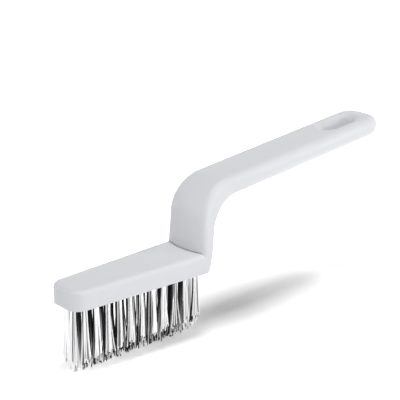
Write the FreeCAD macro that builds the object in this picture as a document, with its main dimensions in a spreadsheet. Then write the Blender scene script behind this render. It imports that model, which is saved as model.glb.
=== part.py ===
"""A grout brush: one moulded body with a tapered head, a bent neck and a grip, and tufts cut to a V."""
import FreeCAD, Part
import math
import os
import Sketcher

from collections import namedtuple
from FreeCAD import Placement, Rotation, Vector

# Driving dimensions, in millimetres and degrees
SIZES = {
    "overall_length": 213.0,
    "head_length": 82.1,
    "head_thickness": 10.0,
    "toe_width": 21.0,
    "heel_width": 29.2,
    "toe_corner_radius": 6.5,
    "head_edge_radius": 2.4,
    "heel_corner_radius": 4.2,
    "heel_block_depth": 9.0,
    "blend_step": 0.05,
    "neck_depth": 4.3,
    "neck_front_lean": 1.5,
    "neck_rear_lean": 11.2,
    "neck_crown": 3.0,
    "bend_width": 26.5,
    "outer_bend_radius": 19.5,
    "inner_bend_radius": 17.5,
    "waist_width": 23.6,
    "grip_width": 26.0,
    "grip_start": 48.0,
    "grip_height": 43.75,
    "grip_pitch": 5.8,
    "grip_thickness": 10.3,
    "grip_edge_radius": 4.6,
    "end_fall_start": 10.0,
    "end_fall_drop": 2.7,
    "rim_land": 0.2,
    "neck_edge_radius": 3.2,
    "slot_length": 22.0,
    "slot_width": 8.4,
    "slot_end_wall": 14.2,
    "slot_rim_radius": 4.1,
    "slot_land": 0.05,
    "bristle_length": 35.5,
    "ridge_width": 3.6,
    "trim_slope": 51.5,
    "end_trim_slope": 68.7,
    "ridge_inset": 0.6,
    "tuft_pitch": 6.65,
    "outer_first": 7.9,
    "inner_first": 4.4,
    "row_end_margin": 4.4,
    "outer_inset": 4.0,
    "inner_spacing_toe": 5.0,
    "inner_spacing_heel": 7.4,
    "hole_depth": 7.6,
    "hole_radius": 1.7,
    "tuft_clearance": 0.1,
    "tuft_tip_radius": 2.3,
    "anchor_clearance": 0.03,
    "anchor_height": 1.6,
    "anchor_thickness": 0.4,
    "anchor_cover": 0.5,
}

# Shares of the bend's turn at which it has a cross-section
BEND_SHARES = (0.0, 0.25, 0.5, 0.75, 1.0)

doc = FreeCAD.newDocument("grout_brush")
sheet = doc.addObject("Spreadsheet::Sheet", "sizes")
for line, (alias, value) in enumerate(SIZES.items(), start=1):
    sheet.set(f"A{line}", alias)
    sheet.set(f"B{line}", str(value))
    sheet.setAlias(f"B{line}", alias)
doc.recompute()


def size(alias):
    """The number that a cell of the sheet holds."""
    return float(getattr(sheet, alias))


def blend(first, last, share):
    """A size part of the way from one cell of the sheet to another, and its formula."""
    value = size(first) + (size(last) - size(first)) * share
    return value, f"(sizes.{first} + (sizes.{last} - sizes.{first}) * {share})"


def slope_of(alias):
    """The slope of an angle that a cell of the sheet holds."""
    return math.tan(math.radians(size(alias)))


# Main places, from the middle of the length and the plane of the longest bristle tips
TOE_X = -size("overall_length") / 2
HEEL_X = TOE_X + size("head_length")
HEAD_BOTTOM = size("bristle_length")
HEAD_TOP = HEAD_BOTTOM + size("head_thickness")
PITCH = math.radians(size("grip_pitch"))
ALONG_GRIP = Vector(math.cos(PITCH), 0, math.sin(PITCH))
OUT_OF_GRIP = Vector(-math.sin(PITCH), 0, math.cos(PITCH))

# How far cuts run on, past the tip in degrees and past the head in millimetres
END_OVERRUN = 4.0
HEAD_OVERRUN = 2.0

# How closely a point counts as lying on a surface
TOLERANCE = 0.01

# The rounding of the grip's rims, which leaves a land on the wall between them, also at the low tip
SIDE_WALL = size("grip_thickness") - size("rim_land")
SIDE_WALL_FORMULA = "(sizes.grip_thickness - sizes.rim_land)"
TIP_WALL = (SIDE_WALL - size("end_fall_drop")) * (1 + size("end_fall_drop") / size("end_fall_start"))
TIP_WALL_FORMULA = (
    "(sizes.grip_thickness - sizes.rim_land - sizes.end_fall_drop)"
    " * (1 + sizes.end_fall_drop / sizes.end_fall_start)"
)
RIM_RADIUS = min(size("grip_edge_radius"), SIDE_WALL / 2, TIP_WALL / 2)
RIM_FORMULA = f"min(sizes.grip_edge_radius; {SIDE_WALL_FORMULA} / 2; {TIP_WALL_FORMULA} / 2)"


def origin_plane(body, role):
    """One of a body's own origin planes."""
    return next(feature for feature in body.Origin.OriginFeatures if feature.Role == role)


def new_sketch(body, name, role, offset):
    """A sketch on an origin plane of its body, moved by an offset in that plane's own axes."""
    sketch = body.newObject("Sketcher::SketchObject", name)
    sketch.AttachmentSupport = [(origin_plane(body, role), "")]
    sketch.MapMode = "FlatFace"
    sketch.AttachmentOffset = offset
    return sketch


def relate(sketch, *terms):
    """A constraint between two pieces of a sketch."""
    sketch.addConstraint(Sketcher.Constraint(*terms))


def dimension(sketch, terms, value, formula=None):
    """A dimension of a sketch, bound to cells of the sheet where a formula is given."""
    index = sketch.addConstraint(Sketcher.Constraint(*terms, value))
    if formula:
        sketch.setExpression(f"Constraints[{index}]", formula)


def chain(sketch, kind, count):
    """Join each piece of a closed outline to the next, end to start."""
    for index in range(count):
        relate(sketch, kind, index, 2, (index + 1) % count, 1)


def arc(centre_x, centre_y, radius, first, last):
    """An arc of a sketch, between two angles in degrees."""
    circle = Part.Circle(Vector(centre_x, centre_y, 0), Vector(0, 0, 1), radius)
    return Part.ArcOfCircle(circle, math.radians(first), math.radians(last))


def run(start, end):
    """A straight piece of a sketch, between two (x, y) places."""
    return Part.LineSegment(Vector(*start, 0), Vector(*end, 0))


def middle_of(edge):
    """The point half way along an edge."""
    return edge.valueAt((edge.FirstParameter + edge.LastParameter) / 2)


def round_edges(body, name, base, formula, test):
    """Round those edges of a feature whose middle point passes the test."""
    doc.recompute()
    edges = enumerate(base.Shape.Edges, start=1)
    fillet = body.newObject("PartDesign::Fillet", name)
    fillet.Base = (base, [f"Edge{index}" for index, edge in edges if test(middle_of(edge))])
    fillet.setExpression("Radius", formula)
    doc.recompute()
    return fillet


def cut_away(body, name, sketch, **settings):
    """Cut a sketch out of a body, and make sure that it took material away."""
    doc.recompute()
    before = body.Shape.Volume
    pocket = body.newObject("PartDesign::Pocket", name)
    pocket.Profile = sketch
    for key, value in settings.items():
        setattr(pocket, key, value)
    doc.recompute()
    if pocket.Shape.Volume > before - TOLERANCE:
        raise RuntimeError(f"{name} cuts nothing")
    return pocket


# Side outline of the neck and grip

def neck_front(height):
    """The neck's front line, at a height above the head's bottom."""
    drift = (height - size("head_thickness")) * slope_of("neck_front_lean")
    return Vector(HEEL_X - size("neck_depth") + drift, 0, HEAD_BOTTOM + height)


def neck_rear(height):
    """The rear line of the heel and neck, at a height above the head's bottom."""
    return Vector(HEEL_X + height * slope_of("neck_rear_lean"), 0, HEAD_BOTTOM + height)


def grip_top(distance):
    """The grip's top line, at a distance along it from above the heel."""
    return Vector(HEEL_X, 0, HEAD_BOTTOM + size("grip_height")) + ALONG_GRIP * distance


def grip_bottom(distance):
    """The grip's bottom line, square under the top line."""
    return grip_top(distance) - OUT_OF_GRIP * size("grip_thickness")


def crossing(line_a, line_b):
    """Where two lines of the side outline cross."""
    a = line_a(1) - line_a(0)
    b = line_b(1) - line_b(0)
    between = line_b(0) - line_a(0)
    return line_a(0) + a * ((between.x * b.z - between.z * b.x) / (a.x * b.z - a.z * b.x))


def bend_point(line_in, line_out, radius, share):
    """A point of the arc that rounds the corner between two lines, at a share of its turn."""
    into = (line_in(1) - line_in(0)).normalize()
    turn = into.getAngle(line_out(1) - line_out(0))
    start = crossing(line_in, line_out) - into * (radius * math.tan(turn / 2))
    inward = Vector(into.z, 0, -into.x)
    spoke = Rotation(Vector(0, 1, 0), math.degrees(turn * share)).multVec(inward * -radius)
    return start + inward * radius + spoke


# The round end of the grip, whose rounded lower rim reaches half the overall length
END_RADIUS = size("grip_width") / 2
END_REACH = (
    (END_RADIUS - RIM_RADIUS) * math.cos(PITCH)
    + (size("grip_thickness") - RIM_RADIUS) * math.sin(PITCH)
    + RIM_RADIUS
)
GRIP_END = (size("overall_length") / 2 - END_REACH - HEEL_X) / math.cos(PITCH)
GRIP_TIP = GRIP_END + END_RADIUS

# The fall of the grip's top towards the tip, an arc tangent to the top line
FALL_START = GRIP_TIP - size("end_fall_start")
FALL_RADIUS = (size("end_fall_start") ** 2 + size("end_fall_drop") ** 2) / (2 * size("end_fall_drop"))
FALL_RADIUS_FORMULA = "(sizes.end_fall_start ^ 2 + sizes.end_fall_drop ^ 2) / (2 * sizes.end_fall_drop)"
FALL_TURN = 2 * math.degrees(math.atan2(size("end_fall_drop"), size("end_fall_start")))
FALL_CENTRE = grip_top(FALL_START) - OUT_OF_GRIP * FALL_RADIUS


class Section:
    """A rounded cross-section between a rear and a front point, with a flat or a crowned front edge."""

    def __init__(self, rear, front, width, width_formula, edge, edge_formula, crown=0.0):
        self.rear = rear
        self.out = front - rear
        self.half = width / 2
        self.width_formula = width_formula
        self.edge = edge
        self.edge_formula = edge_formula
        self.corner_y = self.half - self.edge
        self.crown = crown

    def front_edge(self):
        """The front edge, the height of its corner arcs and the angle at which it meets them."""
        depth = self.out.Length
        if not self.crown:
            return run((self.corner_y, depth), (-self.corner_y, depth)), depth - self.edge, 0.0
        radius = (self.half ** 2 + self.crown ** 2) / (2 * self.crown)
        centre = depth + self.crown - radius
        rise = math.sqrt((radius - self.edge) ** 2 - self.corner_y ** 2)
        lean = math.degrees(math.atan2(self.corner_y, rise))
        return arc(0, centre, radius, 90 - lean, 90 + lean), centre + rise, lean

    def draw(self, body, name):
        """The outline, as a sketch with its Y axis from the rear point to the front point."""
        tilt = Rotation(Vector(1, 0, 0), math.degrees(math.atan2(self.out.x, self.out.z)))
        offset = Placement(Vector(0, self.rear.z, self.rear.x), tilt)
        sketch = new_sketch(body, name, "YZ_Plane", offset)
        front, corner_z, lean = self.front_edge()
        sketch.addGeometry([
            front,
            arc(-self.corner_y, corner_z, self.edge, 90 + lean, 180),
            run((-self.half, corner_z), (-self.half, self.edge)),
            arc(-self.corner_y, self.edge, self.edge, 180, 270),
            run((-self.corner_y, 0), (self.corner_y, 0)),
            arc(self.corner_y, self.edge, self.edge, 270, 360),
            run((self.half, self.edge), (self.half, corner_z)),
            arc(self.corner_y, corner_z, self.edge, 0, 90 - lean),
        ])
        chain(sketch, "Tangent", 8)
        relate(sketch, "PointOnObject", 4, 1, -1)
        relate(sketch, "Horizontal", 4)
        relate(sketch, "Vertical", 2)
        relate(sketch, "Vertical", 6)
        relate(sketch, "Symmetric", 2, 2, 6, 1, -2)
        relate(sketch, "Equal", 1, 3)
        dimension(sketch, ("Radius", 1), self.edge, self.edge_formula)
        dimension(sketch, ("DistanceX", 2, 2, 6, 1), 2 * self.half, self.width_formula)
        if self.crown:
            relate(sketch, "PointOnObject", 0, 3, -2)
            relate(sketch, "Equal", 1, 7)
            dimension(sketch, ("Radius", 0), front.Radius)
            dimension(sketch, ("DistanceY", 0, 3, -1, 1), -front.Center.y)
        else:
            relate(sketch, "Horizontal", 0)
            dimension(sketch, ("DistanceY", -1, 1, 0, 1), self.out.Length)
        return sketch


def neck_section(rear, front, width, width_formula, crown):
    """A cross-section with the neck's rounding and a crowned front edge."""
    return Section(
        rear, front, width, width_formula, size("neck_edge_radius"), "sizes.neck_edge_radius", crown,
    )


def heel_section(rear, front):
    """A cross-section of the heel, as wide as the head."""
    return neck_section(rear, front, size("heel_width"), "sizes.heel_width", size("neck_crown"))


def bend_section(share):
    """A cross-section of the bend, at a share of its turn, narrowing gently at both ends."""
    rear = bend_point(neck_rear, grip_bottom, size("inner_bend_radius"), share)
    front = bend_point(neck_front, grip_top, size("outer_bend_radius"), share)
    eased = share ** 2 * (3 - 2 * share)
    width, width_formula = blend("bend_width", "waist_width", eased)
    return neck_section(rear, front, width, width_formula, size("neck_crown") * (1 - eased))


def grip_section(distance):
    """A cross-section of the grip, at a distance along it from above the heel."""
    return Section(
        grip_bottom(distance), grip_top(distance), size("grip_width"), "sizes.grip_width",
        RIM_RADIUS, RIM_FORMULA,
    )


def loft(body, name, first, *others):
    """A smooth form through sections."""
    form = body.newObject("PartDesign::AdditiveLoft", name)
    form.Profile = first
    form.Sections = list(others)
    doc.recompute()
    return form


# Tuft places

Place = namedtuple("Place", "label x y x_formula y_formula")


def row_count(first):
    """How many tufts a row holds that starts at a distance from the toe."""
    room = size("head_length") - size(first) - size("row_end_margin")
    return int(room / size("tuft_pitch")) + 1


class Row:
    """A straight row of tufts from the toe to the heel, on one side of the middle."""

    def __init__(self, name, side, first, toe_y, heel_y, toe_formula, heel_formula):
        self.name, self.side, self.first = name, side, first
        self.toe_y, self.heel_y = toe_y, heel_y
        self.toe_formula, self.heel_formula = toe_formula, heel_formula

    def places(self):
        """The label and the place of each tuft of the row."""
        for index in range(row_count(self.first)):
            along = size(self.first) + index * size("tuft_pitch")
            along_formula = f"(sizes.{self.first} + {index} * sizes.tuft_pitch)"
            across = self.toe_y + (self.heel_y - self.toe_y) * along / size("head_length")
            across_formula = (
                f"{self.side} * ({self.toe_formula} + ({self.heel_formula} - {self.toe_formula})"
                f" * {along_formula} / sizes.head_length)"
            )
            yield Place(
                f"{self.name}_{index + 1:02d}",
                TOE_X + along,
                self.side * across,
                f"{along_formula} - sizes.overall_length / 2",
                across_formula,
            )


def rows_of_side(name, side):
    """The outer and inner row of one side."""
    inset = size("outer_inset")
    outer = Row(
        f"tuft_{name}_outer", side, "outer_first",
        size("toe_width") / 2 - inset, size("heel_width") / 2 - inset,
        "(sizes.toe_width / 2 - sizes.outer_inset)", "(sizes.heel_width / 2 - sizes.outer_inset)",
    )
    inner = Row(
        f"tuft_{name}_inner", side, "inner_first",
        size("inner_spacing_toe") / 2, size("inner_spacing_heel") / 2,
        "(sizes.inner_spacing_toe / 2)", "(sizes.inner_spacing_heel / 2)",
    )
    return outer, inner


TUFTS = [
    place
    for name, side in (("left", -1), ("right", 1))
    for row in rows_of_side(name, side)
    for place in row.places()
]


# Moulded body

def make_head(body):
    """The tapered bar, with a round toe, a softened top edge and an end that leans as the heel does."""
    level = Placement(Vector(0, 0, HEAD_BOTTOM), Rotation())
    sketch = new_sketch(body, "head_outline", "XY_Plane", level)
    sketch.setExpression("AttachmentOffset.Base.z", "sizes.bristle_length")
    toe = size("toe_width") / 2
    heel = size("heel_width") / 2 - size("blend_step")
    end = neck_rear(size("head_thickness")).x - size("neck_edge_radius")
    corners = [(TOE_X, -toe), (end, -heel), (end, heel), (TOE_X, toe)]
    sketch.addGeometry([run(corners[i], corners[(i + 1) % 4]) for i in range(4)])
    chain(sketch, "Coincident", 4)
    relate(sketch, "Symmetric", 0, 1, 2, 2, -1)
    relate(sketch, "Symmetric", 0, 2, 1, 2, -1)
    dimension(sketch, ("DistanceY", 0, 1, 2, 2), 2 * toe, "sizes.toe_width")
    dimension(sketch, ("DistanceY", 0, 2, 1, 2), 2 * heel, "sizes.heel_width - 2 * sizes.blend_step")
    dimension(sketch, ("DistanceX", 0, 1, -1, 1), -TOE_X, "sizes.overall_length / 2")
    dimension(
        sketch, ("DistanceX", 0, 1, 0, 2), end - TOE_X,
        "sizes.head_length + sizes.head_thickness * tan(sizes.neck_rear_lean * 1deg)"
        " - sizes.neck_edge_radius",
    )
    bar = body.newObject("PartDesign::Pad", "head_bar")
    bar.Profile = sketch
    bar.setExpression("Length", "sizes.head_thickness")
    toe_round = round_edges(
        body, "toe_round", bar, "sizes.toe_corner_radius",
        lambda place: place.x < TOE_X + TOLERANCE and abs(place.y) > toe - TOLERANCE,
    )
    round_edges(
        body, "head_edge_round", toe_round, "sizes.head_edge_radius",
        lambda place: place.z > HEAD_TOP - TOLERANCE and place.x < end - TOLERANCE,
    )
    inward = Vector(size("neck_edge_radius"), 0, 0)
    low = neck_rear(-HEAD_OVERRUN) - inward
    high = neck_rear(size("head_thickness") + HEAD_OVERRUN) - inward
    corners = [(low.x, low.z), (high.x, low.z), (high.x, high.z)]
    slant = new_sketch(body, "head_end_outline", "XZ_Plane", Placement())
    slant.addGeometry([run(corners[i], corners[(i + 1) % 3]) for i in range(3)])
    chain(slant, "Coincident", 3)
    relate(slant, "Horizontal", 0)
    relate(slant, "Vertical", 1)
    cut_away(body, "head_end_slant", slant, Type="ThroughAll", Midplane=True)


def make_neck(body):
    """The heel, the neck, the bend and the waist before the grip."""
    thickness = size("head_thickness")
    buried = Vector(HEEL_X - size("heel_block_depth"), 0, HEAD_BOTTOM)
    foot = heel_section(neck_rear(0), buried).draw(body, "heel_foot")
    shoulder = heel_section(neck_rear(thickness), neck_front(thickness)).draw(body, "heel_shoulder")
    turns = [
        bend_section(share).draw(body, f"bend_section_{index}")
        for index, share in enumerate(BEND_SHARES, start=1)
    ]
    loft(body, "heel_block", foot, shoulder)
    loft(body, "neck", shoulder, turns[0])
    loft(body, "bend", *turns)
    loft(body, "waist", turns[-1], grip_section(size("grip_start")).draw(body, "grip_section"))


def make_grip():
    """The straight grip, round in plan at its end, where its top falls towards the tip."""
    grip = doc.addObject("PartDesign::Body", "grip")
    tilt = Rotation(Vector(0, 1, 0), -size("grip_pitch"))
    base = Placement(grip_bottom(size("grip_start")), tilt)
    outline = new_sketch(grip, "grip_outline", "XY_Plane", base)
    length = GRIP_END - size("grip_start")
    outline.addGeometry([
        run((0, -END_RADIUS), (length, -END_RADIUS)),
        arc(length, 0, END_RADIUS, -90, 90),
        run((length, END_RADIUS), (0, END_RADIUS)),
        run((0, END_RADIUS), (0, -END_RADIUS)),
    ])
    relate(outline, "Tangent", 0, 2, 1, 1)
    relate(outline, "Tangent", 1, 2, 2, 1)
    relate(outline, "Coincident", 2, 2, 3, 1)
    relate(outline, "Coincident", 3, 2, 0, 1)
    relate(outline, "Horizontal", 0)
    relate(outline, "Vertical", 3)
    relate(outline, "Symmetric", 3, 1, 3, 2, -1, 1)
    dimension(outline, ("Radius", 1), END_RADIUS, "sizes.grip_width / 2")
    dimension(outline, ("DistanceX", 0, 1, 0, 2), length)
    bar = grip.newObject("PartDesign::Pad", "grip_bar")
    bar.Profile = outline
    bar.setExpression("Length", "sizes.grip_thickness")

    level = 90 + size("grip_pitch")
    steep = level - FALL_TURN - END_OVERRUN
    high = grip_top(FALL_START)
    low = FALL_CENTRE + Rotation(Vector(0, 1, 0), level - steep).multVec(high - FALL_CENTRE)
    above = OUT_OF_GRIP * FALL_RADIUS
    corners = [(place.x, place.z) for place in (high, high + above, low + above, low)]
    fall = new_sketch(grip, "end_fall_outline", "XZ_Plane", Placement())
    fall.addGeometry([
        arc(FALL_CENTRE.x, FALL_CENTRE.z, FALL_RADIUS, steep, level),
        *(run(corners[index], corners[index + 1]) for index in range(3)),
    ])
    chain(fall, "Coincident", 4)
    dimension(fall, ("Radius", 0), FALL_RADIUS, FALL_RADIUS_FORMULA)
    cut = cut_away(grip, "end_fall", fall, Type="ThroughAll", Midplane=True)

    def on_rim(place):
        along = (place - grip_top(0)).dot(ALONG_GRIP)
        depth = (grip_top(0) - place).dot(OUT_OF_GRIP)
        spoke = place - FALL_CENTRE
        on_wall = abs(math.hypot(max(along - GRIP_END, 0), place.y) - END_RADIUS) < TOLERANCE
        on_fall = along > FALL_START and abs(math.hypot(spoke.x, spoke.z) - FALL_RADIUS) < TOLERANCE
        return on_wall and (on_fall or depth < TOLERANCE or depth > size("grip_thickness") - TOLERANCE)

    round_edges(grip, "grip_round", cut, RIM_FORMULA, on_rim)
    return grip


def join(body, other):
    """Make another body one with this one."""
    union = body.newObject("PartDesign::Boolean", f"{other.Name}_join")
    union.Type = "Fuse"
    union.addObjects([other])
    doc.recompute()


def round_heel(body):
    """The rounded lower corner of the heel, cut in the side outline."""
    radius = size("heel_corner_radius")
    lean = size("neck_rear_lean")
    inset = radius - size("blend_step")
    centre = (HEEL_X - inset * math.tan(math.radians((90 - lean) / 2)), HEAD_BOTTOM + inset)
    bottom = centre[1] - radius
    upper = (
        centre[0] + radius * math.cos(math.radians(lean)),
        centre[1] - radius * math.sin(math.radians(lean)),
    )
    beyond = upper[0] + radius
    below = bottom - radius
    sketch = new_sketch(body, "heel_corner", "XZ_Plane", Placement())
    sketch.addGeometry([
        arc(*centre, radius, 270, 360 - lean),
        run(upper, (beyond, upper[1])),
        run((beyond, upper[1]), (beyond, below)),
        run((beyond, below), (centre[0], below)),
        run((centre[0], below), (centre[0], bottom)),
    ])
    chain(sketch, "Coincident", 5)
    relate(sketch, "Horizontal", 1)
    relate(sketch, "Vertical", 2)
    relate(sketch, "Horizontal", 3)
    relate(sketch, "Vertical", 4)
    dimension(sketch, ("Radius", 0), radius, "sizes.heel_corner_radius")
    cut_away(body, "heel_round", sketch, Type="ThroughAll", Midplane=True)


def cut_hang_slot(body):
    """The obround slot near the grip's end, with a rounded rim on both faces."""
    radius = size("slot_width") / 2
    half_run = size("slot_length") / 2 - radius
    centre = grip_top(GRIP_TIP - size("slot_end_wall") - size("slot_length") / 2)
    tilt = Rotation(Vector(0, 1, 0), -size("grip_pitch"))
    sketch = new_sketch(body, "slot_outline", "XY_Plane", Placement(centre, tilt))
    sketch.addGeometry([
        arc(half_run, 0, radius, -90, 90),
        run((half_run, radius), (-half_run, radius)),
        arc(-half_run, 0, radius, 90, 270),
        run((-half_run, -radius), (half_run, -radius)),
    ])
    chain(sketch, "Tangent", 4)
    relate(sketch, "Equal", 0, 2)
    relate(sketch, "Symmetric", 0, 3, 2, 3, -1, 1)
    relate(sketch, "PointOnObject", 0, 3, -1)
    dimension(sketch, ("Radius", 0), radius, "sizes.slot_width / 2")
    dimension(sketch, ("DistanceX", 2, 3, 0, 3), 2 * half_run, "sizes.slot_length - sizes.slot_width")
    slot = cut_away(body, "hang_slot", sketch, Type="ThroughAll")

    def on_rim(place):
        along = (place - centre).dot(ALONG_GRIP)
        past_run = max(abs(along) - half_run, 0)
        depth = (centre - place).dot(OUT_OF_GRIP)
        on_outline = abs(math.hypot(past_run, place.y) - radius) < TOLERANCE
        return on_outline and not RIM_RADIUS < depth < size("grip_thickness") - TOLERANCE

    free_width = f"(sizes.grip_width - sizes.slot_width) / 2 - {RIM_FORMULA} - sizes.slot_land"
    round_edges(body, "slot_rim_round", slot, f"min(sizes.slot_rim_radius; {free_width})", on_rim)


def drill_tuft_holes(body):
    """A blind hole in the head's underside for each tuft."""
    level = Placement(Vector(0, 0, HEAD_BOTTOM), Rotation())
    sketch = new_sketch(body, "tuft_hole_places", "XY_Plane", level)
    sketch.setExpression("AttachmentOffset.Base.z", "sizes.bristle_length")
    for index, place in enumerate(TUFTS):
        centre = Vector(place.x, place.y, 0)
        sketch.addGeometry(Part.Circle(centre, Vector(0, 0, 1), size("hole_radius")))
        dimension(sketch, ("Radius", index), size("hole_radius"), "sizes.hole_radius")
        dimension(sketch, ("DistanceX", -1, 1, index, 3), place.x, place.x_formula)
        dimension(sketch, ("DistanceY", -1, 1, index, 3), place.y, place.y_formula)
    holes = cut_away(body, "tuft_holes", sketch, Reversed=True, Length=size("hole_depth"))
    holes.setExpression("Length", "sizes.hole_depth")


def make_body():
    """The whole moulding."""
    body = doc.addObject("PartDesign::Body", "handle_body")
    make_head(body)
    make_neck(body)
    round_heel(body)
    join(body, make_grip())
    cut_hang_slot(body)
    drill_tuft_holes(body)
    return body


# Tufts and anchors

def primitive(kind, name, x_formula, y_formula, z_formula, **formulas):
    """A basic solid with its sizes and place bound to the sheet."""
    solid = doc.addObject(f"Part::{kind}", name)
    for key, formula in formulas.items():
        solid.setExpression(key, formula)
    for axis, formula in zip("xyz", (x_formula, y_formula, z_formula)):
        solid.setExpression(f"Placement.Base.{axis}", formula)
    return solid


def make_trim_envelope():
    """The V-shaped space that the tufts are cut to, from a narrow flat ridge upwards."""
    envelope = doc.addObject("Part::Wedge", "trim_envelope")
    envelope.Placement = Placement(Vector(), Rotation(Vector(1, 0, 0), 90))
    height = "(sizes.bristle_length + sizes.head_thickness)"
    flare = f"(sizes.ridge_width / 2 + {height} / tan(sizes.trim_slope * 1deg))"
    spread = f"{height} / tan(sizes.end_trim_slope * 1deg)"
    gaps = row_count("inner_first") - 1
    first = "sizes.inner_first - sizes.overall_length / 2"
    toe_end = f"{first} + sizes.ridge_inset"
    heel_end = f"{first} + {gaps} * sizes.tuft_pitch - sizes.ridge_inset"
    limits = {
        "Xmin": toe_end,
        "Xmax": heel_end,
        "X2min": f"{toe_end} - {spread}",
        "X2max": f"{heel_end} + {spread}",
        "Ymin": "0",
        "Ymax": height,
        "Zmin": "-sizes.ridge_width / 2",
        "Zmax": "sizes.ridge_width / 2",
        "Z2min": f"-{flare}",
        "Z2max": flare,
    }
    for key, formula in limits.items():
        envelope.setExpression(key, formula)
    return envelope


ROOT_RADIUS = "sizes.hole_radius - sizes.tuft_clearance"
ANCHOR_LENGTH = "2 * (sqrt(sizes.hole_radius ^ 2 - sizes.anchor_thickness ^ 2 / 4) - sizes.anchor_clearance)"
TUFT_TOP = "sizes.bristle_length + sizes.hole_depth - sizes.tuft_clearance"
ANCHOR_BOTTOM = f"{TUFT_TOP} - sizes.anchor_cover - sizes.anchor_height"


def make_tuft(place, envelope):
    """One folded bundle: its root in the hole, its flared free part, and the gap for its anchor."""
    root = primitive(
        "Cylinder", f"{place.label}_root", place.x_formula, place.y_formula, "sizes.bristle_length",
        Radius=ROOT_RADIUS, Height="sizes.hole_depth - sizes.tuft_clearance",
    )
    flare = primitive(
        "Cone", f"{place.label}_flare", place.x_formula, place.y_formula, "0",
        Radius1="sizes.tuft_tip_radius", Radius2=ROOT_RADIUS, Height="sizes.bristle_length",
    )
    gap = primitive(
        "Box", f"{place.label}_anchor_gap",
        f"{place.x_formula} - sizes.hole_radius",
        f"{place.y_formula} - sizes.anchor_thickness / 2 - sizes.anchor_clearance",
        f"{ANCHOR_BOTTOM} - sizes.anchor_clearance",
        Length="2 * sizes.hole_radius",
        Width="sizes.anchor_thickness + 2 * sizes.anchor_clearance",
        Height="sizes.anchor_height + 2 * sizes.anchor_clearance",
    )
    bundle = doc.addObject("Part::MultiFuse", f"{place.label}_bundle")
    bundle.Shapes = [root, flare]
    trimmed = doc.addObject("Part::Common", f"{place.label}_trimmed")
    trimmed.Base = bundle
    trimmed.Tool = envelope
    tuft = doc.addObject("Part::Cut", place.label)
    tuft.Base = trimmed
    tuft.Tool = gap
    return tuft


def make_anchor(place):
    """The flat metal anchor across one tuft, with its ends against the wall of the hole."""
    return primitive(
        "Box", f"{place.label}_anchor",
        f"{place.x_formula} - ({ANCHOR_LENGTH}) / 2",
        f"{place.y_formula} - sizes.anchor_thickness / 2",
        ANCHOR_BOTTOM,
        Length=ANCHOR_LENGTH,
        Width="sizes.anchor_thickness",
        Height="sizes.anchor_height",
    )


body = make_body()
envelope = make_trim_envelope()
tufts = [make_tuft(place, envelope) for place in TUFTS]
anchors = doc.addObject("Part::Compound", "tuft_anchors")
anchors.Links = [make_anchor(place) for place in TUFTS]
doc.recompute()

# Checks before anything is written
for item in doc.Objects:
    if "Invalid" in item.State or "Error" in item.State:
        raise RuntimeError(f"{item.Name} failed: {item.State}")
subparts = [body, *tufts, anchors]
for item in subparts:
    item.Label = item.Name
    if item.Shape.isNull() or not item.Shape.isValid():
        raise RuntimeError(f"{item.Name} has no valid shape")

os.makedirs("parts", exist_ok=True)
for item in subparts:
    item.Shape.exportStep(f"parts/{item.Label}.step")
print(f"{len(subparts)} sub-parts, body volume {body.Shape.Volume:.0f} mm3, body box {body.Shape.BoundBox}")
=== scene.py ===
"""Looks of a grout brush: satin white plastic, and tufts of white and dark filaments cut to a V."""

import math
import random

import bmesh
import bpy
from mathutils import Matrix, Vector


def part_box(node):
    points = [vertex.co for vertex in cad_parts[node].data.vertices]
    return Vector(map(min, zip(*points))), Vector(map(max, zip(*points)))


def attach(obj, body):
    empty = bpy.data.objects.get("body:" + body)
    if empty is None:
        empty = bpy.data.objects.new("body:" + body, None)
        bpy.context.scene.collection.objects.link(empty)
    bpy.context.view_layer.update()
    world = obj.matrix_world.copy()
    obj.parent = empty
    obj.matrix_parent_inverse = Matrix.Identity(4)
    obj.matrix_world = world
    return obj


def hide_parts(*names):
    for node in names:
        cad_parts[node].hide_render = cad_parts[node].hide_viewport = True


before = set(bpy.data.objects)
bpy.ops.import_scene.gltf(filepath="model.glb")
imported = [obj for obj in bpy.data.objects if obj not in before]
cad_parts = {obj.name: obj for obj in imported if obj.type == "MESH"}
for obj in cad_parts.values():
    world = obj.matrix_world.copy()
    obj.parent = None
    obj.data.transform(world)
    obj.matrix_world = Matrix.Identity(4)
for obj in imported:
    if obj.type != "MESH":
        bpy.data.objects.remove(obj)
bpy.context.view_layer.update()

MM = 0.001
BODY = "root"
SEED = 20
WHITE = (1.0, 1.0, 1.0, 1.0)

# Trim of the bristles, as the tufts are cut on the machine
RIDGE_HALF_WIDTH = 1.8 * MM
RIDGE_INSET = 0.6 * MM
TRIM_SLOPE = math.radians(51.5)
END_TRIM_SLOPE = math.radians(68.7)
RAGGED_TIPS = 1.4 * MM
CUT_TOLERANCE = 0.001 * MM

# Filaments of one tuft
FILAMENTS = 24
FILAMENT_RADIUS = 0.26 * MM
FILAMENT_SIDES = 6
FILAMENT_RINGS = 5
ROOT_RIM_DEPTH = 0.1 * MM
ROOT_DEPTH = 5.2 * MM
OUTER_ROOT_SPREAD = 1.1 * MM
INNER_ROOT_SPREAD = 1.4 * MM
TIP_SPREAD = 2.6 * MM
STRAY_ALONG = 1.2 * MM
STRAY_ACROSS = 0.6 * STRAY_ALONG
WAVER = 0.2 * MM
SPLAY_POWER = 1.6
OVERRUN = 3.0 * MM
GOLDEN_ANGLE = math.radians(137.508)
TURN_JITTER = 0.3

# Tones of the filaments, from 0, dark, to 1, white, and the shares of the odd ones
WHITE_TONES = (0.90, 1.0)
GREY_TONES = (0.03, 0.25)
DARK_TONES = (0.0, 0.01)
GREY_SHARE = 0.22
WHITE_SHARE = 0.05
# Painted root shade: this share of the dark filaments are white ones darkened towards the root, with this
# power along their length
PAINTED_ROOT_SHADE_SHARE = 0.4
PAINTED_ROOT_SHADE_POWER = 3.0

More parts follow.
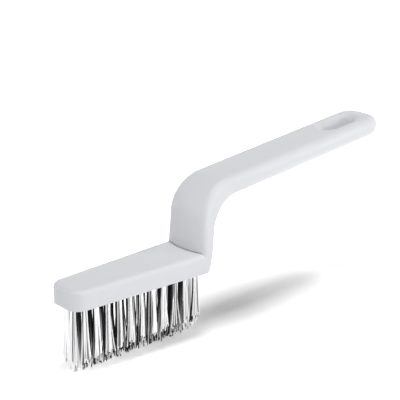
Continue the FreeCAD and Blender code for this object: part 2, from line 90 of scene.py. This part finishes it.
# How far a filament of an outer tuft may lie towards the middle, as a sine, and still be a pale one; further
# in it takes dark tones as painted shade for the brush's shaded middle
PAINTED_SHADE_INWARD_LIMIT = 0.45

# Shine of the plastics, and the painted glow that filaments give off as a share of their colour
BODY_SHINE = 0.35
FILAMENT_SHINE = 0.12
FILAMENT_PAINTED_GLOW = 0.26

# Painted shade in the body's creases: a dull line darkened into its colour by how far they are open, where a
# flat face is 1
PAINTED_CREASE_SHADE_REACH = 1.3 * MM
PAINTED_CREASE_SHADE_SPAN = (0.5, 0.95)
PAINTED_CREASE_SHADE_LEVEL = 165

# Camera, at the photograph's viewing angle
CAMERA_TARGET = Vector((-19.69, 0.0, 68.37)) * MM
CAMERA_AZIMUTH = -42.09
CAMERA_ELEVATION = 19.19
CAMERA_DISTANCE = 660 * MM
CAMERA_LENS = 118.72
CAMERA_SENSOR = 36.0

# Light of the sky, on a scale where a diffuse colour shows as it is written at 1
SKY_LEVEL = 0.16

# Light of the floor: a glow that grows towards the front, and a lift that grows away from the brush, held
# low near it as painted shadow that deepens the floor's shadow there
FLOOR_COLOUR = (0.95, 0.95, 0.95, 1.0)
FLOOR_REACH = 8.0
FLOOR_GLOWS = (0.0, 0.60)
FLOOR_GLOW_SPAN = (10 * MM, -110 * MM)
FLOOR_LIFTS = (0.13, 1.0)
FLOOR_LIFT_SPAN = (8 * MM, 165 * MM)
FLOOR_PAINTED_SHADOW_MIDDLE = Vector((4.0, 0.0, 0.0)) * MM

# Lamps, each with its azimuth, elevation, distance, width and level, which has the sky's scale
LAMP_AIM = Vector((0.0, 0.0, 50.0)) * MM
LAMPS = (
    ("key", 42.0, 17.0, 4400 * MM, 1300 * MM, 0.30),
    ("overhead", 0.0, 84.0, 4800 * MM, 1150 * MM, 0.56),
    ("fill", -90.0, 14.0, 4800 * MM, 2000 * MM, 0.195),
)


# Shader helpers

def plain(level, cool=0.0):
    """The linear colour of a grey with a display level from 0 to 255, and more blue where it is cool."""
    def linear(value):
        share = value / 255
        return share / 12.92 if share <= 0.04045 else ((share + 0.055) / 1.055) ** 2.4
    green = level + 0.2 * cool
    blue = level + cool
    return (linear(level), linear(green), linear(blue), 1.0)


def add_node(tree, kind, **values):
    """A node with its settings, where a name with a leading capital is an input socket."""
    node = tree.nodes.new(kind)
    for key, value in values.items():
        if key[0].isupper():
            node.inputs[key.replace("_", " ")].default_value = value
        else:
            setattr(node, key, value)
    return node


def add_ramp(tree, value, span, levels=(0.0, 1.0)):
    """The output of a node that goes from the first level to the second as a value crosses a span."""
    ramp = add_node(
        tree, "ShaderNodeMapRange",
        From_Min=span[0], From_Max=span[1], To_Min=levels[0], To_Max=levels[1],
    )
    tree.links.new(value, ramp.inputs["Value"])
    return ramp.outputs["Result"]


def new_group(name, inputs, outputs):
    """An empty shader group with named sockets, and its two end nodes."""
    group = bpy.data.node_groups.new(name, "ShaderNodeTree")
    for label, kind in inputs:
        group.interface.new_socket(label, in_out="INPUT", socket_type=kind)
    for label, kind in outputs:
        group.interface.new_socket(label, in_out="OUTPUT", socket_type=kind)
    return group, group.nodes.new("NodeGroupInput"), group.nodes.new("NodeGroupOutput")


def make_grain_group():
    """Fine mottling of a moulded or drawn surface: its colour, roughness and height."""
    group, start, end = new_group(
        "surface_grain",
        [
            ("Light Colour", "NodeSocketColor"),
            ("Dark Colour", "NodeSocketColor"),
            ("Grain per Metre", "NodeSocketFloat"),
            ("Cloud per Metre", "NodeSocketFloat"),
            ("Smoothest", "NodeSocketFloat"),
            ("Roughest", "NodeSocketFloat"),
        ],
        [
            ("Color", "NodeSocketColor"),
            ("Roughness", "NodeSocketFloat"),
            ("Height", "NodeSocketFloat"),
        ],
    )
    place = add_node(group, "ShaderNodeTexCoord")
    grain = add_node(group, "ShaderNodeTexNoise", Detail=3.0)
    cloud = add_node(group, "ShaderNodeTexNoise", Detail=2.0)
    tint = add_node(group, "ShaderNodeMix", data_type="RGBA")
    gloss = add_node(group, "ShaderNodeMapRange")
    for texture, label in ((grain, "Grain per Metre"), (cloud, "Cloud per Metre")):
        group.links.new(place.outputs["Object"], texture.inputs["Vector"])
        group.links.new(start.outputs[label], texture.inputs["Scale"])
    group.links.new(cloud.outputs["Fac"], tint.inputs["Factor"])
    group.links.new(start.outputs["Light Colour"], tint.inputs["A"])
    group.links.new(start.outputs["Dark Colour"], tint.inputs["B"])
    group.links.new(grain.outputs["Fac"], gloss.inputs["Value"])
    group.links.new(start.outputs["Smoothest"], gloss.inputs["To Min"])
    group.links.new(start.outputs["Roughest"], gloss.inputs["To Max"])
    group.links.new(tint.outputs["Result"], end.inputs["Color"])
    group.links.new(gloss.outputs["Result"], end.inputs["Roughness"])
    group.links.new(grain.outputs["Fac"], end.inputs["Height"])
    return group


GRAIN = make_grain_group()


def new_material(name):
    """A material with its tree and its principled shader."""
    material = bpy.data.materials.new(name)
    material.use_nodes = True
    return material, material.node_tree, material.node_tree.nodes["Principled BSDF"]


def add_grain(tree, shader, relief, **values):
    """Put the grain into a material's roughness and normal, and return the grain's colour."""
    grain = add_node(tree, "ShaderNodeGroup", node_tree=GRAIN, **values)
    bump = add_node(tree, "ShaderNodeBump", Strength=1.0, Distance=relief)
    tree.links.new(grain.outputs["Height"], bump.inputs["Height"])
    tree.links.new(grain.outputs["Roughness"], shader.inputs["Roughness"])
    tree.links.new(bump.outputs["Normal"], shader.inputs["Normal"])
    return grain.outputs["Color"]


# Finishes

def satin_white_plastic():
    """The moulded body: cool white, with a fine spark-eroded satin and painted shade as a dull line in its
    creases.
    """
    material, tree, shader = new_material("satin_white_plastic")
    mottled = add_grain(
        tree, shader, relief=0.006 * MM, Light_Colour=plain(225, 5), Dark_Colour=plain(222, 5),
        Grain_per_Metre=2600.0, Cloud_per_Metre=60.0, Smoothest=0.42, Roughest=0.54,
    )
    # Painted shade: occlusion close to a crease darkens the colour towards the crease level.
    painted_crease_shade = add_node(tree, "ShaderNodeAmbientOcclusion", only_local=True, Distance=PAINTED_CREASE_SHADE_REACH)
    tint = add_node(tree, "ShaderNodeMix", data_type="RGBA", A=plain(PAINTED_CREASE_SHADE_LEVEL, 5))
    tree.links.new(add_ramp(tree, painted_crease_shade.outputs["AO"], PAINTED_CREASE_SHADE_SPAN), tint.inputs["Factor"])
    tree.links.new(mottled, tint.inputs["B"])
    tree.links.new(tint.outputs["Result"], shader.inputs["Base Color"])
    shader.inputs["Specular IOR Level"].default_value = BODY_SHINE
    return material


def filament_plastic(name, light, dark, smoothest, roughest):
    """Drawn filaments, from a dark to a white one by their own tone, with a painted glow of that colour."""
    material, tree, shader = new_material(name)
    add_grain(
        tree, shader, relief=0.004 * MM,
        Grain_per_Metre=900.0, Smoothest=smoothest, Roughest=roughest,
    )
    tone = add_node(tree, "ShaderNodeAttribute", attribute_name="tone")
    tint = add_node(tree, "ShaderNodeMix", data_type="RGBA", A=dark, B=light)
    tree.links.new(tone.outputs["Fac"], tint.inputs["Factor"])
    tree.links.new(tint.outputs["Result"], shader.inputs["Base Color"])
    # Painted glow: the filaments give off light in their own colour, though they are no lamp.
    tree.links.new(tint.outputs["Result"], shader.inputs["Emission Color"])
    shader.inputs["Emission Strength"].default_value = FILAMENT_PAINTED_GLOW
    shader.inputs["Specular IOR Level"].default_value = FILAMENT_SHINE
    return material


def drawn_steel():
    """The flat anchors in the tuft holes."""
    material, tree, shader = new_material("drawn_steel")
    mottled = add_grain(
        tree, shader, relief=0.003 * MM, Light_Colour=plain(176), Dark_Colour=plain(160),
        Grain_per_Metre=4000.0, Cloud_per_Metre=300.0, Smoothest=0.25, Roughest=0.45,
    )
    tree.links.new(mottled, shader.inputs["Base Color"])
    shader.inputs["Metallic"].default_value = 1.0
    return material


FINISHES = {
    "body_plastic": satin_white_plastic(),
    "white_bristle": filament_plastic(
        "white_filament", light=plain(252, 1), dark=plain(16, 2), smoothest=0.32, roughest=0.48,
    ),
    "dark_bristle": filament_plastic(
        "dark_filament", light=plain(252, 1), dark=plain(14, 2), smoothest=0.30, roughest=0.46,
    ),
    "anchor_metal": drawn_steel(),
}


# Bristles

def hole_centre(node):
    """The middle of a tuft's root, from the top rim of its solid."""
    rim_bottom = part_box(node)[1].z - ROOT_RIM_DEPTH
    rim = [vertex.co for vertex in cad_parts[node].data.vertices if vertex.co.z > rim_bottom]
    low = Vector(map(min, zip(*rim)))
    high = Vector(map(max, zip(*rim)))
    return (low + high) / 2


HEAD_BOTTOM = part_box("handle_body")[0].z
TUFT_NODES = sorted(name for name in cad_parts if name.startswith("tuft_") and name != "tuft_anchors")
CENTRES = {node: hole_centre(node) for node in TUFT_NODES}
RIDGE_ENDS = (
    min(centre.x for centre in CENTRES.values()) + RIDGE_INSET,
    max(centre.x for centre in CENTRES.values()) - RIDGE_INSET,
)

# Trim planes, each with a point on it and the direction in which it clears
TRIM_PLANES = [
    (Vector((0, 0, 0)), Vector((0, 0, -1))),
    (Vector((0, RIDGE_HALF_WIDTH, 0)), Vector((0, math.sin(TRIM_SLOPE), -math.cos(TRIM_SLOPE)))),
    (Vector((0, -RIDGE_HALF_WIDTH, 0)), Vector((0, -math.sin(TRIM_SLOPE), -math.cos(TRIM_SLOPE)))),
    (Vector((RIDGE_ENDS[0], 0, 0)), Vector((-math.sin(END_TRIM_SLOPE), 0, -math.cos(END_TRIM_SLOPE)))),
    (Vector((RIDGE_ENDS[1], 0, 0)), Vector((math.sin(END_TRIM_SLOPE), 0, -math.cos(END_TRIM_SLOPE)))),
]


def pale_filament_tones(dice):
    """The tones at root and tip of a pale filament, which is white or now and then grey."""
    tone = dice.uniform(*(GREY_TONES if dice.random() < GREY_SHARE else WHITE_TONES))
    return tone, tone


def dark_filament_tones(dice):
    """The tones at root and tip of a dark filament: many are white at the cut end with painted shade
    darkening them towards the root, and a few are white.
    """
    pick = dice.random()
    white = dice.uniform(*WHITE_TONES)
    dark = dice.uniform(*DARK_TONES)
    if pick < WHITE_SHARE:
        return white, white
    return dark, white if pick < WHITE_SHARE + PAINTED_ROOT_SHADE_SHARE else dark


def filament_route(centre, root_spread, index, dice):
    """Points down one filament, from inside its hole to past the trim."""
    reach = math.sqrt((index + 0.5) / FILAMENTS)
    turn = index * GOLDEN_ANGLE + dice.uniform(-TURN_JITTER, TURN_JITTER)
    out = Vector((math.cos(turn), math.sin(turn), 0)) * reach
    root = Vector((centre.x, centre.y, HEAD_BOTTOM)) + out * root_spread
    stray = Vector((dice.gauss(0, STRAY_ALONG), dice.gauss(0, STRAY_ACROSS), 0))
    tip = Vector((centre.x, centre.y, -OVERRUN)) + out * TIP_SPREAD + stray
    bow = Vector((dice.gauss(0, WAVER), dice.gauss(0, WAVER), 0))
    route = [root + Vector((0, 0, ROOT_DEPTH))]
    for ring in range(FILAMENT_RINGS + 1):
        share = ring / FILAMENT_RINGS
        splayed = root.lerp(tip, share ** SPLAY_POWER)
        height = root.lerp(tip, share).z
        route.append(Vector((splayed.x, splayed.y, height)) + bow * math.sin(math.pi * share))
    return route


def draw_filament(route, tones, dice):
    """One filament, drawn along its route, cut off at the trim and closed, with a tone at each vertex."""
    wire = bmesh.new()
    first = Matrix.Translation(route[0]) @ Matrix.Rotation(dice.uniform(0, math.pi), 4, "Z")
    bmesh.ops.create_circle(
        wire, cap_ends=True, segments=FILAMENT_SIDES, radius=FILAMENT_RADIUS, matrix=first,
    )
    end = wire.faces[:]
    for here, there in zip(route, route[1:]):
        end = bmesh.ops.extrude_discrete_faces(wire, faces=end)["faces"]
        bmesh.ops.translate(wire, verts=end[0].verts, vec=there - here)
    for point, clears in TRIM_PLANES:
        bmesh.ops.bisect_plane(
            wire, geom=wire.verts[:] + wire.edges[:] + wire.faces[:], dist=CUT_TOLERANCE,
            plane_co=point - clears * dice.uniform(0, RAGGED_TIPS), plane_no=clears, clear_outer=True,
        )
    for face in wire.faces:
        face.smooth = True
    caps = bmesh.ops.holes_fill(wire, edges=wire.edges[:])["faces"]
    for cap in caps:
        for edge in cap.edges:
            edge.smooth = False
    bmesh.ops.recalc_face_normals(wire, faces=wire.faces[:])
    layer = wire.verts.layers.float.new("tone")
    root_tone, tip_tone = tones
    # A root tone darker than the tip tone is painted shade, fading towards the cut end.
    for vertex in wire.verts:
        down = max(0.0, 1 - vertex.co.z / HEAD_BOTTOM)
        vertex[layer] = root_tone + (tip_tone - root_tone) * down ** PAINTED_ROOT_SHADE_POWER
    return wire


def make_bristles(node, dice):
    """The filaments of one tuft, in place of its solid."""
    centre = CENTRES[node]
    outer = "outer" in node
    at_end = not RIDGE_ENDS[0] < centre.x < RIDGE_ENDS[1]
    root_spread = OUTER_ROOT_SPREAD if outer else INNER_ROOT_SPREAD
    slot = "white_bristle" if outer else "dark_bristle"
    tuft = bmesh.new()
    for index in range(FILAMENTS):
        # Painted shade: filaments of an outer tuft that lie towards the middle take the dark tones.
        inward = -math.copysign(1, centre.y) * math.sin(index * GOLDEN_ANGLE)
        pale = at_end or (outer and inward < PAINTED_SHADE_INWARD_LIMIT)
        tones = pale_filament_tones(dice) if pale else dark_filament_tones(dice)
        wire = draw_filament(filament_route(centre, root_spread, index, dice), tones, dice)
        single = bpy.data.meshes.new("single_filament")
        wire.to_mesh(single)
        wire.free()
        tuft.from_mesh(single)
        bpy.data.meshes.remove(single)
    mesh = bpy.data.meshes.new(node.replace("tuft", "bristles"))
    tuft.to_mesh(mesh)
    tuft.free()
    piece = bpy.data.objects.new(mesh.name, mesh)
    bpy.context.scene.collection.objects.link(piece)
    mesh.materials.append(FINISHES[slot])
    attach(piece, BODY)
    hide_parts(node)


def finish_node(node, slot):
    """Give a CAD node its finish."""
    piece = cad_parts[node]
    piece.data.materials.clear()
    piece.data.materials.append(FINISHES[slot])


# Stage

def seen_directly(tree):
    """1 for rays from the camera, also by way of gloss or glass, and 0 for diffuse light."""
    path = add_node(tree, "ShaderNodeLightPath")
    result = path.outputs["Is Camera Ray"]
    for kind in ("Is Glossy Ray", "Is Transmission Ray"):
        either = add_node(tree, "ShaderNodeMath", operation="MAXIMUM")
        tree.links.new(result, either.inputs[0])
        tree.links.new(path.outputs[kind], either.inputs[1])
        result = either.outputs["Value"]
    return result


def add_floor_light(tree):
    """The floor's own light: its glow in diffuse light, and its lift where it is seen directly, held low
    near the brush as painted shadow.
    """
    place = add_node(tree, "ShaderNodeTexCoord").outputs["Object"]
    split = add_node(tree, "ShaderNodeSeparateXYZ")
    tree.links.new(place, split.inputs["Vector"])
    away = add_node(tree, "ShaderNodeVectorMath", operation="DISTANCE")
    away.inputs[1].default_value = FLOOR_PAINTED_SHADOW_MIDDLE
    tree.links.new(place, away.inputs[0])
    strength = add_node(tree, "ShaderNodeMix")
    tree.links.new(add_ramp(tree, split.outputs["Y"], FLOOR_GLOW_SPAN, FLOOR_GLOWS), strength.inputs["A"])
    # Painted shadow: seen directly, the floor's lift is lowest near the brush, darkening the floor there.
    tree.links.new(add_ramp(tree, away.outputs["Value"], FLOOR_LIFT_SPAN, FLOOR_LIFTS), strength.inputs["B"])
    tree.links.new(seen_directly(tree), strength.inputs["Factor"])
    return strength.outputs["Result"]


def make_floor_finish():
    """Matt white with a light of its own, and clear from below."""
    material = bpy.data.materials.new("pale_floor")
    material.use_nodes = True
    tree = material.node_tree
    tree.nodes.clear()
    matt = add_node(tree, "ShaderNodeBsdfDiffuse", Color=FLOOR_COLOUR)
    glow = add_node(tree, "ShaderNodeEmission", Color=WHITE)
    both = add_node(tree, "ShaderNodeAddShader")
    below = add_node(tree, "ShaderNodeNewGeometry")
    clear = add_node(tree, "ShaderNodeBsdfTransparent")
    side = add_node(tree, "ShaderNodeMixShader")
    output = add_node(tree, "ShaderNodeOutputMaterial")
    tree.links.new(add_floor_light(tree), glow.inputs["Strength"])
    tree.links.new(matt.outputs["BSDF"], both.inputs[0])
    tree.links.new(glow.outputs["Emission"], both.inputs[1])
    tree.links.new(below.outputs["Backfacing"], side.inputs["Fac"])
    tree.links.new(both.outputs["Shader"], side.inputs[1])
    tree.links.new(clear.outputs["BSDF"], side.inputs[2])
    tree.links.new(side.outputs["Shader"], output.inputs["Surface"])
    return material


def make_floor():
    """A pale floor, with painted shadow near the brush in its finish."""
    sheet = bmesh.new()
    bmesh.ops.create_grid(sheet, x_segments=1, y_segments=1, size=FLOOR_REACH)
    mesh = bpy.data.meshes.new("floor")
    sheet.to_mesh(mesh)
    sheet.free()
    mesh.materials.append(make_floor_finish())
    floor = bpy.data.objects.new("floor", mesh)
    bpy.context.scene.collection.objects.link(floor)


def make_sky():
    """Even studio light from all round, seen directly as white."""
    world = bpy.data.worlds.new("studio")
    bpy.context.scene.world = world
    world.use_nodes = True
    tree = world.node_tree
    tree.nodes.clear()
    light = add_node(tree, "ShaderNodeBackground", Color=WHITE, Strength=SKY_LEVEL)
    backdrop = add_node(tree, "ShaderNodeBackground", Color=WHITE, Strength=1.0)
    mix = add_node(tree, "ShaderNodeMixShader")
    output = add_node(tree, "ShaderNodeOutputWorld")
    tree.links.new(seen_directly(tree), mix.inputs["Fac"])
    tree.links.new(light.outputs["Background"], mix.inputs[1])
    tree.links.new(backdrop.outputs["Background"], mix.inputs[2])
    tree.links.new(mix.outputs["Shader"], output.inputs["Surface"])


def outward(azimuth, elevation):
    """A direction in degrees, round from the side that faces -Y and up from the floor."""
    level = math.cos(math.radians(elevation))
    across = math.sin(math.radians(azimuth)) * level
    front = math.cos(math.radians(azimuth)) * level
    return Vector((across, -front, math.sin(math.radians(elevation))))


def stand(name, data, aim, azimuth, elevation, distance):
    """Set up a lamp or a camera at a distance from its aim, facing it."""
    away = outward(azimuth, elevation)
    holder = bpy.data.objects.new(name, data)
    holder.location = aim + away * distance
    holder.rotation_mode = "QUATERNION"
    holder.rotation_quaternion = away.to_track_quat("Z", "Y")
    bpy.context.scene.collection.objects.link(holder)
    return holder


def make_lamp(name, azimuth, elevation, distance, width, level):
    """A square soft lamp whose light on a facing surface at its aim has a given level."""
    data = bpy.data.lights.new(name, "AREA")
    data.shape = "SQUARE"
    data.size = width
    data.energy = level * math.pi ** 2 * distance ** 2
    stand(name, data, LAMP_AIM, azimuth, elevation, distance)


def make_camera():
    """The camera at the photograph's viewing angle."""
    data = bpy.data.cameras.new("camera")
    data.sensor_width = CAMERA_SENSOR
    data.lens = CAMERA_LENS
    bpy.context.scene.camera = stand(
        "camera", data, CAMERA_TARGET, CAMERA_AZIMUTH, CAMERA_ELEVATION, CAMERA_DISTANCE,
    )


finish_node("handle_body", "body_plastic")
finish_node("tuft_anchors", "anchor_metal")
dice = random.Random(SEED)
for node in TUFT_NODES:
    make_bristles(node, dice)

make_floor()
make_sky()
for lamp in LAMPS:
    make_lamp(*lamp)
make_camera()
bpy.context.scene.view_settings.view_transform = "Standard"
